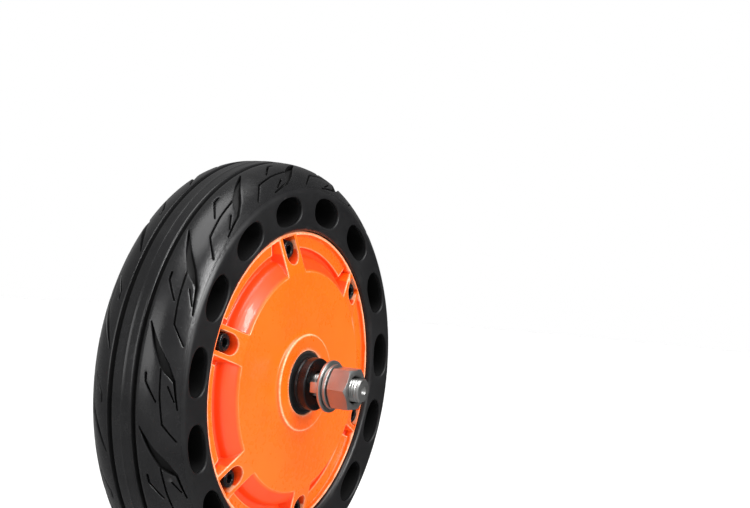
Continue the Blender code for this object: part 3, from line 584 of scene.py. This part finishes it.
def make_side_walls(work):
    """Each wall is a ring of equal sectors, one for each hole, meshed in loops around the hole."""
    columns = RIM_COLUMNS // HOLES
    uprights = 14
    step = 360 / HOLES / columns
    flat_start = np.interp(-FLAT_OUTER, -WALL_TABLE[1][:, 0], WALL_TABLE[0])
    middle = flat_start + FLAT_OUTER - HOLE_CIRCLE
    scale = HOLE_CIRCLE * pi / 180
    half = 180 / HOLES
    frame_loop = [(-half + j * step, 0.0) for j in range(columns)]
    frame_loop += [(half, WALL_LENGTH * j / uprights) for j in range(uprights)]
    frame_loop += [(half - j * step, WALL_LENGTH) for j in range(columns)]
    frame_loop += [(-half, WALL_LENGTH * (1 - j / uprights)) for j in range(uprights)]
    for side in SIDES.values():
        flat_rings = []
        hole = []
        for angle, along in frame_loop:
            x, z = angle * scale, along - middle
            way = np.arctan2(z, x)
            hole.append((way, hypot(x, z)))
        for t in (0, 0.08, 0.2, 0.36, 0.54, 0.72, 0.87, 1.0):
            ring = []
            for (angle, along), (way, far) in zip(frame_loop, hole):
                reach = hole_radius(way, HOLE_EDGE) * (1 - t) + far * t
                ring.append((cos(way) * reach / scale, middle + sin(way) * reach))
            flat_rings.append(np.array(ring))
        lip = []
        for i in range(1, 6):
            turn = radians(90) * i / 5
            grow, drop = HOLE_EDGE * (1 - sin(turn)), HOLE_EDGE * (1 - cos(turn))
            ring = [(cos(way) * hole_radius(way, grow) / scale, middle + sin(way) * hole_radius(way, grow))
                    for way, _ in hole]
            lip.append((np.array(ring), drop))
        for number in range(HOLES):
            centre = HOLE_ANGLE + number * 360 / HOLES
            rings = [wall_point(centre + ring[:, 0], ring[:, 1], side) for ring in reversed(flat_rings)]
            for ring, drop in lip:
                points = wall_point(centre + ring[:, 0], ring[:, 1], side)
                points[:, 1] = side * (SIDE_Y - drop)
                rings.append(points)
            for y in (18.0, 9.0, 0.0):
                points = rings[-1].copy()
                points[:, 1] = side * y
                rings.append(points)
            work.rings(rings)


def make_tyre():
    work = Patchwork()
    make_tread(work)
    make_side_walls(work)
    angles = TREAD_START + np.arange(RIM_COLUMNS) * 360 / RIM_COLUMNS
    bead = [(69.5, 21.9), (69.5, 17.2), (69.2, 16.8), (66.3, 16.7), (66.0, 16.4), (66.0, 8.0)]
    bead += [(r, -y) for r, y in reversed(bead)]
    work.rings([polar_points(r, angles, y) for r, y in bead])
    work.make("tyre_skin", "tyre_rubber", "wheel", ["tyre"], 38)


make_tyre()


# --- Covers -----------------------------------------------------------------------------------------

SCREWS = 6
SCREW_CIRCLE = 61.8
SCREW_START = 40.0
RIB_HALF = 7.0
SLOT_HALF = 4.8
SLOT_END = 60.1  # centre of the round inner end of the slot
SLOT_RIM = 67.7
SLOT_FLOOR = 16.9
NOTCH = 2.7  # the ledge stops this far from each rib
PARALLEL_FROM = 49.0  # beyond this radius the mesh's columns run parallel to the rib

# Profiles of the cover's face as (radius, y): along the dome, the rim, a recess, its ledge and a rib
DOME = [(14.8, 29.2), (15.1, 29.5), (15.45, 29.5), (21.3, 29.5), (21.7, 29.5), (22.1, 29.42), (22.4, 29.2),
        (22.6, 28.75), (22.75, 28.3), (23.0, 27.95), (23.5, 27.72), (24.4, 27.6), (26.0, 27.54),
        (29.5, 27.48), (33, 27.42), (37, 27.3),
        (41, 27.12), (45, 26.88), (49, 26.62), (50.4, 26.52), (DOME_END, 26.49)]
RIM = [(67.75, 21.85), (68.05, 22.0), (68.5, 21.95), (68.85, 21.7), (69.1, 21.3), (69.2, 20.8)]
POCKET = DOME + [(51.05, 26.42), (51.3, 26.2), (51.6, 25.9), (52.4, 25.1), (53.6, 24.3), (55.0, 23.3),
                 (56.2, 22.3), (56.9, 21.5), (57.3, 20.7), (57.5, 19.8), (57.75, 18.8), (57.95, 18.15),
                 (58.3, 17.72), (58.9, 17.6), (60.6, 17.6), (67.0, 17.6), (67.3, 17.8), (67.5, 18.6),
                 (67.65, 21.3)] + RIM
LEDGE = [(60.9, 17.6), (61.1, 17.8), (LEDGE_EDGE[0], 18.9), (61.5, 19.45), (LEDGE_EDGE[1], 19.6),
         (66.8, 19.6), (67.15, 19.75), (67.4, 20.3), (67.65, 21.4)]
TOP = DOME + [*RIB_TOP, (67.4, 22.0), (67.75, 22.0), (68.05, 22.0), (68.5, 21.95),
              (68.85, 21.7), (69.1, 21.3), (69.2, 20.8)]


def along(table, radius):
    xs, ys = np.array(table).T
    return np.interp(radius, xs, ys)


def soft_max(a, b, k):
    gap = np.maximum(k - np.abs(a - b), 0) / k
    return np.maximum(a, b) + gap ** 2 * k / 4


def soft_min(a, b, k):
    return -soft_max(-a, -b, k)


def slot_distance(x, v, radius):
    """Signed distance outside the slot around a screw head."""
    side = np.where(x < SLOT_END, np.hypot(x - SLOT_END, v), v) - SLOT_HALF
    return np.maximum(side, radius - SLOT_RIM)


def cover_height(x, v):
    """Height |y| of the cover's face at x along a rib's centre line and v >= 0 across it."""
    radius = np.hypot(x, v)
    away = v - RIB_HALF
    top = along(TOP, radius)
    pocket = along(POCKET, radius)
    ledge = np.where((radius > 60.9) & (radius < 67.65), along(LEDGE, radius), pocket)
    step = np.clip((away - NOTCH - 0.2) / 0.5, 0, 1)
    pocket = pocket + (np.maximum(ledge, pocket) - pocket) * step * step * (3 - 2 * step)
    wall = top - np.maximum(away, 0) ** 1.12 * 6.0
    blend = np.interp(radius, [50, 56.5, 58.5], [3.2, 2.4, 0.55])
    height = np.minimum(top, soft_max(pocket, wall, blend))
    edge = np.clip(1 - np.abs(away) / 0.45, 0, 1)
    height = height - 0.10 * edge * edge * (radius > 52.5) * (radius < 67.3)
    height = np.where((radius < 50.9) | (radius > 67.75), top, height)
    gap = slot_distance(x, v, radius)
    slot = SLOT_FLOOR + np.interp(gap, [-0.9, -0.45, -0.25, 0.0, 0.06], [0, 0.12, 0.5, 3.5, 14])
    return soft_min(height, slot, 0.5)


def column_angle(columns, radius):
    """Angles of the mesh's columns at this radius: parallel to the rib, then spread over the pocket."""
    parallel, spread = columns
    reach = max(radius, PARALLEL_FROM)
    near = [degrees(asin(v / reach)) for v in parallel]
    last = near[-1]
    return near + [last + (30 - last) * t for t in spread]


def cover_columns():
    parallel = [0, 1.2, 2.4, 3.6, 4.6, 5.4, 6.0, 6.4, 6.65, 6.85, 7.0, 7.12, 7.25, 7.4, 7.6, 7.85, 8.15,
                8.5, 9.0, 9.5, 9.8, 10.0, 10.2, 10.4, 10.7, 11.2]
    spread = [0.08, 0.18, 0.3, 0.43, 0.57, 0.71, 0.85, 1.0]
    return parallel, spread


def cover_rows():
    radii = sorted({r for r, _ in POCKET + LEDGE + TOP})
    extra = list(np.arange(52.0, 57.0, 0.8)) + list(np.arange(59.5, 66.9, 0.9))
    extra += [18.0, 31.0, 35.0, 39.0, 43.0, 47.0, 57.1, 57.62, 57.85, 58.1]
    radii = sorted(set(radii) | {round(float(r), 3) for r in extra})
    kept = [radii[0]]
    for r in radii[1:]:
        if r - kept[-1] > 0.09:
            kept.append(r)
    kept[-1] = 69.2
    return kept


def slot_loops():
    """Outlines around the slot, from inside to outside, each from the middle line back to it."""
    loops = []
    for grow in (-3.6, -2.2, -0.9, -0.45, -0.25, -0.1, 0.0, 0.08, 0.2, 0.38):
        half = SLOT_HALF + grow
        far = min(SLOT_RIM + grow, SLOT_RIM + 0.2)
        loop = [(SLOT_END - half * cos(radians(a)), half * sin(radians(a))) for a in np.linspace(0, 90, 13)]
        corner = sqrt(far ** 2 - half ** 2)
        loop += [(SLOT_END + (corner - SLOT_END) * t / 6, half) for t in range(1, 7)]
        turn = degrees(asin(half / far))
        loop += [(far * cos(radians(a)), far * sin(radians(a))) for a in np.linspace(turn, 0, 7)[1:]]
        loops.append(loop)
    return loops


EDGE_SLACK = 0.01  # triangles with all corners this close to a patch's edge are left out


def cover_patch():
    """Half of one sixth of the cover's face, as (x, v) points and triangles."""
    columns, rows = cover_columns(), cover_rows()
    points, edges, known = [], [], {}

    def vertex(p):
        key = (round(p[0], 4), round(p[1], 4))
        if key not in known:
            known[key] = len(points)
            points.append(p)
        return known[key]

    grid = []
    for r in rows:
        angles = column_angle(columns, r)
        row = []
        for a in angles:
            x, v = r * cos(radians(a)), r * sin(radians(a))
            clear = slot_distance(np.array(x), np.array(v), np.array(r)) > 0.6 or r > SLOT_RIM + 0.25
            row.append(vertex((x, v)) if clear else None)
        grid.append(row)
    for i, row in enumerate(grid):
        for j, a in enumerate(row):
            beside = row[j + 1:j + 2]
            below = grid[i + 1][j:j + 1] if i + 1 < len(grid) else []
            edges += [(a, b) for b in beside + below if a is not None and b is not None]
    before = None
    for loop in slot_loops():
        ids = [vertex(p) for p in loop]
        edges += [(a, b) for a, b in zip(ids, ids[1:]) if a != b]
        if before:
            edges += [(a, b) for a, b in zip(before, ids) if a != b]
        before = ids
    flat, _, triangles, *_ = delaunay_2d_cdt([Vector(p) for p in points], edges, [], 0, 1e-4)
    flat = np.array([tuple(v) for v in flat])
    turn = np.degrees(np.arctan2(flat[:, 1], flat[:, 0]))
    radius = np.hypot(*flat.T)
    kept = []
    for t in triangles:
        angles, radii = turn[list(t)], radius[list(t)]
        sliver = angles.max() < EDGE_SLACK or angles.min() > 30 - EDGE_SLACK
        outside = radii.min() > rows[-1] - EDGE_SLACK or radii.max() < rows[0] + EDGE_SLACK
        if not sliver and not outside:
            kept.append(t)
    return flat, kept


def make_covers():
    flat, triangles = cover_patch()
    heights = cover_height(flat[:, 0], flat[:, 1])
    radius = np.hypot(*flat.T)
    angle = np.degrees(np.arctan2(flat[:, 1], flat[:, 0]))
    columns = cover_columns()
    under = [(69.2, 20.8), (69.2, 17.3), (68.9, 17.0), (65.7, 17.0), (65.7, 14.6), (53.5, 14.6), (53.5, 21.5),
             (22.5, 22.8), (22.5, 15.2), (17.8, 15.2), (17.8, 26.8), (14.8, 26.8), (14.8, 29.2)]
    for side_name, side in SIDES.items():
        work = Patchwork()
        for k in range(SCREWS):
            for way in (-1, 1):
                centre = SCREW_START + k * 360 / SCREWS
                work.add(polar_points(radius, centre + way * angle, side * heights), triangles)
                rings = [polar_points(r, centre + way * np.array(column_angle(columns, r)), side * y)
                         for r, y in under]
                work.rings(rings, closed=False)
        work.make(f"cover_casting_{side_name}", "orange_paint", "wheel", [f"cover_{side_name}"], 60)


make_covers()


# --- Screws -----------------------------------------------------------------------------------------


def hexagon(angles, across):
    """Radius of a hexagon of this width across its flats."""
    return across / 2 / np.cos(np.radians((angles % 60) - 30))


def make_cover_screws():
    """M5 socket head screws with a knurled head and a hexagon socket."""
    segments = 96
    angles = np.arange(segments) * 360 / segments
    knurl = np.where(np.arange(segments) % 4 < 2, 4.25, 4.13)
    top = 22.2
    for side_name, side in SIDES.items():
        rings = [(2.4, 6.2), (2.4, 17.2), (4.0, 17.2), (knurl, 17.4), (knurl, 21.2)]
        rings += [(4.13, 21.5), (4.05, 21.85)]
        rings += [(3.85, 22.08), (3.6, top), (2.55, top), (hexagon(angles, 4.1), top - 0.25)]
        rings += [(hexagon(angles, 4.0), top - 0.45), (hexagon(angles, 4.0), top - 2.5), (1.2, top - 2.8)]
        for number in range(SCREWS):
            centre = SCREW_START + number * 360 / SCREWS
            turn = 17.0 * number + (0 if side_name == "right" else 31)
            stack = [polar_points(r * np.ones(segments), angles + turn, side * y) for r, y in rings]
            stack = np.array(stack) + polar_points(SCREW_CIRCLE, centre, 0)
            work = Patchwork()
            work.rings(stack)
            work.add(stack[0], [tuple(range(segments))])
            work.add(stack[-1], [tuple(range(segments))])
            name = f"cover_screw_{side_name}_{number + 1}"
            work.make(f"socket_screw_{side_name}_{number + 1}", "black_steel", "wheel", [name], 30)


make_cover_screws()


# --- Axle and its fittings --------------------------------------------------------------------------

PITCH = 1.25
THREAD_DEPTH = 0.68


def make_axle():
    """The M12 axle with rolled thread on its flatted ends; its keyway and cable exit aren't drawn."""
    segments = 72
    angles = np.arange(segments) * 360 / segments
    middle = [(7.5, 26.4), (7.5, 15.3), (8.5, 15.1), (8.5, 10.0), (10.0, 9.8), (10.0, 9.2), (9.2, 9.1),
              (9.2, 7.7), (10.0, 7.6), (10.0, -7.7), (12.0, -7.9), (12.0, -10.7), (8.5, -10.9),
              (8.5, -15.1), (7.5, -15.3), (7.5, -26.4)]

    def threaded(side):
        rows = []
        for y in np.arange(59.9, 36.4, -PITCH / 8):
            phase = (y / PITCH + side * angles / 360) % 1.0
            tooth = THREAD_DEPTH * np.interp(phase, [0, 0.12, 0.5, 0.62, 1.0], [0, 0, 1, 1, 0])
            tooth = np.maximum(tooth, np.interp(y, [58.7, 59.9], [0, 1.0]))
            rows.append((6.0 - tooth, side * y))
        rows += [(5.96 * np.ones(segments), side * y) for y in (36.3, 31.0)]
        return rows

    def flatted(radius, y):
        points = polar_points(radius * np.ones(segments), angles, y)
        if abs(y) > 30.6:
            points[:, 2] = np.clip(points[:, 2], -5.0, 5.0)
        return points

    rings = [flatted(r, y) for r, y in threaded(1)]
    rings += [flatted(6.0, y) for y in (30.7, 30.5, 26.6)] + [flatted(r, y) for r, y in middle]
    rings += [flatted(6.0, y) for y in (-26.6, -30.5, -30.7)]
    rings += [flatted(r, y) for r, y in reversed(threaded(-1))]
    work = Patchwork()
    bore = [(3.9, 59.9), (3.5, 59.6), (3.5, 20.0)]
    work.rings([rings[0]] + [flatted(r, y) for r, y in bore])
    work.add(flatted(3.5, 20.0), [tuple(range(segments))])
    work.rings(rings)
    mark = [(4.4, -60.0), (2.0, -60.0), (1.6, -59.6), (0.4, -58.0)]
    work.rings([rings[-1]] + [flatted(r, y) for r, y in mark])
    work.add(flatted(0.4, -58.0), [tuple(range(segments))])
    work.make("axle_shaft", "zinc_steel", "axle_assembly", ["axle"], 30)


make_axle()


def make_nut(side_name, side):
    segments = 144
    angles = np.arange(segments) * 360 / segments
    hexed = hexagon(angles, 18.0)
    near, far = 45.9, 55.9
    cut = 8.75
    drop = np.maximum(hexed - cut, 0) * tan(radians(28))
    ones = np.ones(segments)
    rings = [(6.3 * ones, near + 0.7), (6.9 * ones, near), (cut * ones, near), (hexed, near + drop)]
    rings += [(hexed, far - drop), (cut * ones, far), (6.9 * ones, far), (6.3 * ones, far - 0.7)]
    rings += [(6.3 * ones, near + 0.7)]
    work = Patchwork()
    work.rings([polar_points(r, angles, side * np.broadcast_to(y, segments)) for r, y in rings])
    work.make(f"hex_nut_{side_name}", "zinc_steel", "axle_assembly", [f"axle_nut_{side_name}"], 30)


def make_tab_washer(side_name, side):
    segments = 96
    angles = np.arange(segments) * 360 / segments
    near, far = 42.0, 43.5
    bore = 6.3 * np.ones(segments)

    def ring(radius, y, inner=False):
        points = polar_points(radius * np.ones(segments), angles, side * y)
        if inner:
            points[:, 2] = np.clip(points[:, 2], -5.3, 5.3)
        return points

    rings = [ring(bore, near + 0.2, True), ring(bore + 0.2, near, True)]
    rings += [ring(11.7, near), ring(12.0, near + 0.3), ring(12.0, far - 0.3), ring(11.7, far)]
    rings += [ring(bore + 0.2, far, True), ring(bore, far - 0.2, True)]
    rings += [ring(bore, near + 0.2, True)]
    work = Patchwork()
    work.rings(rings)
    tab = bmesh.new()
    size = Matrix.Diagonal((1.8 * MM, 4.6 * MM, 5.0 * MM, 1))
    place = Matrix.Translation((-10.1 * MM, side * 40.4 * MM, 0))
    bmesh.ops.create_cube(tab, size=1, matrix=place @ size)
    bmesh.ops.bevel(tab, geom=tab.edges[:], offset=0.35 * MM, segments=3, affect="EDGES", profile=0.5)
    work.add([v.co / MM for v in tab.verts], [[v.index for v in f.verts] for f in tab.faces])
    tab.free()
    work.make(f"keyed_washer_{side_name}", "zinc_steel", "axle_assembly", [f"tab_washer_{side_name}"], 40)


def make_lock_washer(side_name, side):
    """Split spring washer, its section swept round, open at the split."""
    angles = np.linspace(8, 352, 97)
    near, far = 43.8, 45.6
    section = rounded([(8.3, near), (10.3, near), (10.3, far), (6.4, far), (6.4, near), (8.3, near)], 0.3)
    rings = [polar_points(r, angles, side * y) for r, y in section]
    work = Patchwork()
    work.rings(rings, closed=False)
    for end in (0, -1):
        work.add([ring[end] for ring in rings[:-1]], [tuple(range(len(rings) - 1))])
    work.make(f"spring_washer_{side_name}", "zinc_steel", "axle_assembly", [f"lock_washer_{side_name}"], 35)


def make_collar(side_name, side):
    outline = [(9.5, 26.8), (9.5, 30.0), (12.1, 30.0), (12.1, 31.2), (11.7, 31.5), (11.7, 31.9), (12.1, 32.2)]
    outline += [(12.1, 36.0, 0.7), (6.3, 36.0), (6.3, 26.8)]
    turned_piece(f"shoulder_collar_{side_name}", outline, side, 96, "black_steel", "axle_assembly",
                 [f"axle_collar_{side_name}"], 0.25)


def make_seal(side_name, side):
    outline = [(14.5, 27.1), (14.5, 29.3), (13.6, 29.3), (12.6, 28.7), (11.4, 28.7), (10.6, 29.2)]
    outline += [(9.9, 29.0), (9.8, 27.1)]
    turned_piece(f"lip_seal_{side_name}", outline, side, 96, "seal_rubber", "wheel",
                 [f"oil_seal_{side_name}"])


for side_name, side in SIDES.items():
    make_nut(side_name, side)
    make_tab_washer(side_name, side)
    make_lock_washer(side_name, side)
    make_collar(side_name, side)
    make_seal(side_name, side)

BUSH = [(3.2, 50.0), (3.2, 59.4), (2.9, 59.7), (2.5, 59.4), (2.5, 50.0)]
turned_piece("cable_bush", BUSH, 1, 48, "seal_rubber", "axle_assembly", ["cable_grommet"], 0.15)


# --- Floor, light and camera ------------------------------------------------------------------------


def make_floor():
    bm = bmesh.new()
    bmesh.ops.create_circle(bm, cap_ends=True, segments=96, radius=1.4)
    mesh = bpy.data.meshes.new("floor")
    bm.to_mesh(mesh)
    bm.free()
    floor = bpy.data.objects.new("floor", mesh)
    bpy.context.scene.collection.objects.link(floor)
    floor.location = (0, 0, CAD_BOX[0][2] - 0.0005)
    floor.visible_glossy = False  # keeps the white floor out of the paint's and the tyre's shine
    n = Nodes("studio_floor")
    soft = n.noise(2.0, 2)
    mesh.materials.append(n.finish(n.mix(soft, (0.88, 0.88, 0.88, 1), (0.92, 0.92, 0.92, 1)),
                                   n.spread(soft, 0, 1, 0.5, 0.6), n.bump(n.noise(60), 0.0002, 0.2)))


def area_light(name, place, size, power):
    """A rectangular light that faces the wheel's centre."""
    light = bpy.data.lights.new(name, "AREA")
    light.shape = "RECTANGLE"
    light.size, light.size_y = size
    light.energy = power
    obj = bpy.data.objects.new(name, light)
    bpy.context.scene.collection.objects.link(obj)
    obj.location = place
    obj.rotation_euler = (-Vector(place)).to_track_quat("-Z", "Y").to_euler()


# The camera's place about the wheel, and how it is then turned to leave the wheel at the lower left
AZIMUTH, ELEVATION, DISTANCE = -57.2326, 7.3682, 0.836937
PAN, TILT, ROLL = -3.6796, 4.1204, 3.5484


def make_camera():
    camera = bpy.data.cameras.new("camera")
    camera.lens = 85.5
    camera.sensor_width = 36.0
    camera.clip_start = 0.01
    obj = bpy.data.objects.new("camera", camera)
    bpy.context.scene.collection.objects.link(obj)
    orbit = Matrix.Rotation(radians(AZIMUTH), 4, "Z") @ Matrix.Rotation(radians(90 - ELEVATION), 4, "X")
    aim = Matrix.Rotation(radians(PAN), 4, "Y") @ Matrix.Rotation(radians(TILT), 4, "X")
    roll = Matrix.Rotation(radians(ROLL), 4, "Z")
    obj.matrix_world = orbit @ Matrix.Translation((0, 0, DISTANCE)) @ aim @ roll
    bpy.context.scene.camera = obj


def sun_light(name, direction, strength, spread):
    light = bpy.data.lights.new(name, "SUN")
    light.energy = strength
    light.angle = radians(spread)
    obj = bpy.data.objects.new(name, light)
    bpy.context.scene.collection.objects.link(obj)
    obj.rotation_euler = Vector(direction).to_track_quat("Z", "Y").to_euler()


AMBIENT = 0.36  # strength of the world's light, where it shows as 1.0
DIM = (0.85, -0.5, 0.1)  # the direction from which it is weakest
DIM_FROM, DIM_SHARE = 0.1, 0.12  # where the dimming starts, and the share of light that is left


def make_world():
    """A white backdrop that lights the object less than it shows, and least from the DIM direction."""
    world = bpy.data.worlds.new("studio")
    world.use_nodes = True
    tree = world.node_tree
    background = tree.nodes["Background"]
    background.inputs["Color"].default_value = (1.0, 1.0, 1.0, 1)

    def node(kind, **values):
        node = tree.nodes.new(kind)
        for socket, value in values.items():
            node.inputs[socket.replace("_", " ")].default_value = value
        return node

    facing = node("ShaderNodeVectorMath")
    facing.operation = "DOT_PRODUCT"
    facing.inputs[1].default_value = DIM
    tree.links.new(tree.nodes.new("ShaderNodeTexCoord").outputs["Generated"], facing.inputs[0])
    dim = node("ShaderNodeMapRange", From_Min=DIM_FROM, To_Min=AMBIENT, To_Max=AMBIENT * DIM_SHARE)
    tree.links.new(facing.outputs["Value"], dim.inputs["Value"])
    shown = node("ShaderNodeMapRange", To_Max=1.0)
    tree.links.new(tree.nodes.new("ShaderNodeLightPath").outputs["Is Camera Ray"], shown.inputs["Value"])
    tree.links.new(dim.outputs["Result"], shown.inputs["To Min"])
    tree.links.new(shown.outputs["Result"], background.inputs["Strength"])
    bpy.context.scene.world = world
    bpy.context.scene.view_settings.view_transform = "Standard"


make_floor()
make_world()
make_camera()
sun_light("overhead", (-0.10, -0.25, 1.0), 2.9, 50)
area_light("key", (0.0, -1.35, 0.62), (0.24, 0.7), 19)
area_light("fill", (-1.2, 0.1, 0.35), (0.8, 0.8), 8)
